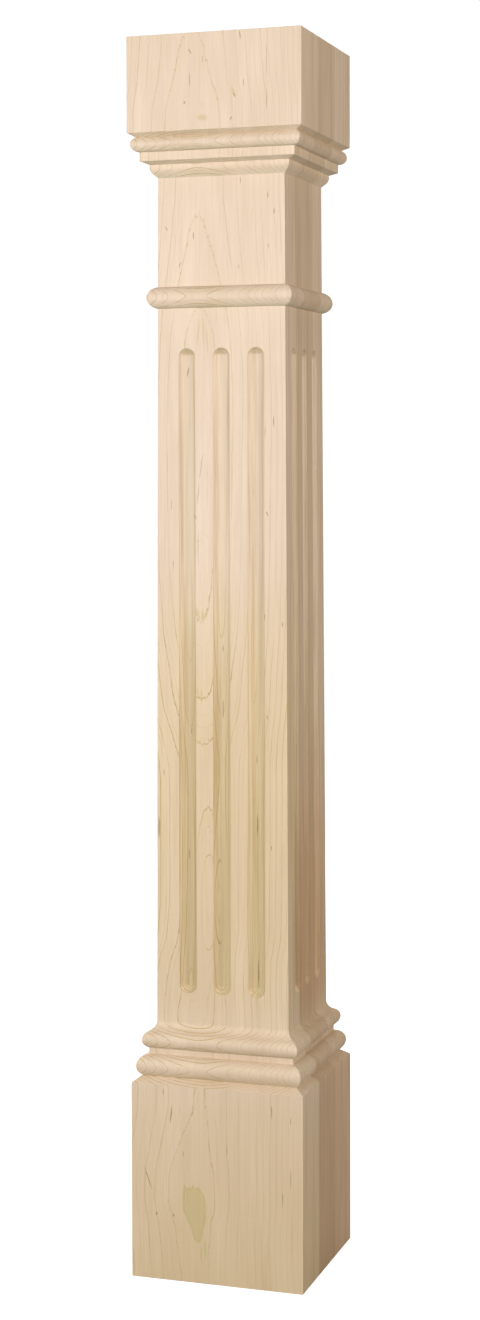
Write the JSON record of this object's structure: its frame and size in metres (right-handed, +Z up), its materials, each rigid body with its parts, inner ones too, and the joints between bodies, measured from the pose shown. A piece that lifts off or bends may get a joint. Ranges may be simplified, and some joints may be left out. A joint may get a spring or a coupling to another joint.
{
  "type": "square cabinet column",
  "caption": "Square wooden column with a plinth, moulded base and cap, a bead under a plain neck, and stopped flutes on a tapering shaft.",
  "frame": {"origin": "middle of the underside of the plinth", "axes": "+Z up along the column, front face looks along -Y"},
  "size_m": [0.127, 0.127, 0.8763],
  "materials": {
    "maple": "bare sanded hard maple, glued up from three boards, no stain or lacquer"
  },
  "bodies": {
    "root": {"column": "maple"}
  },
  "joints": []
}
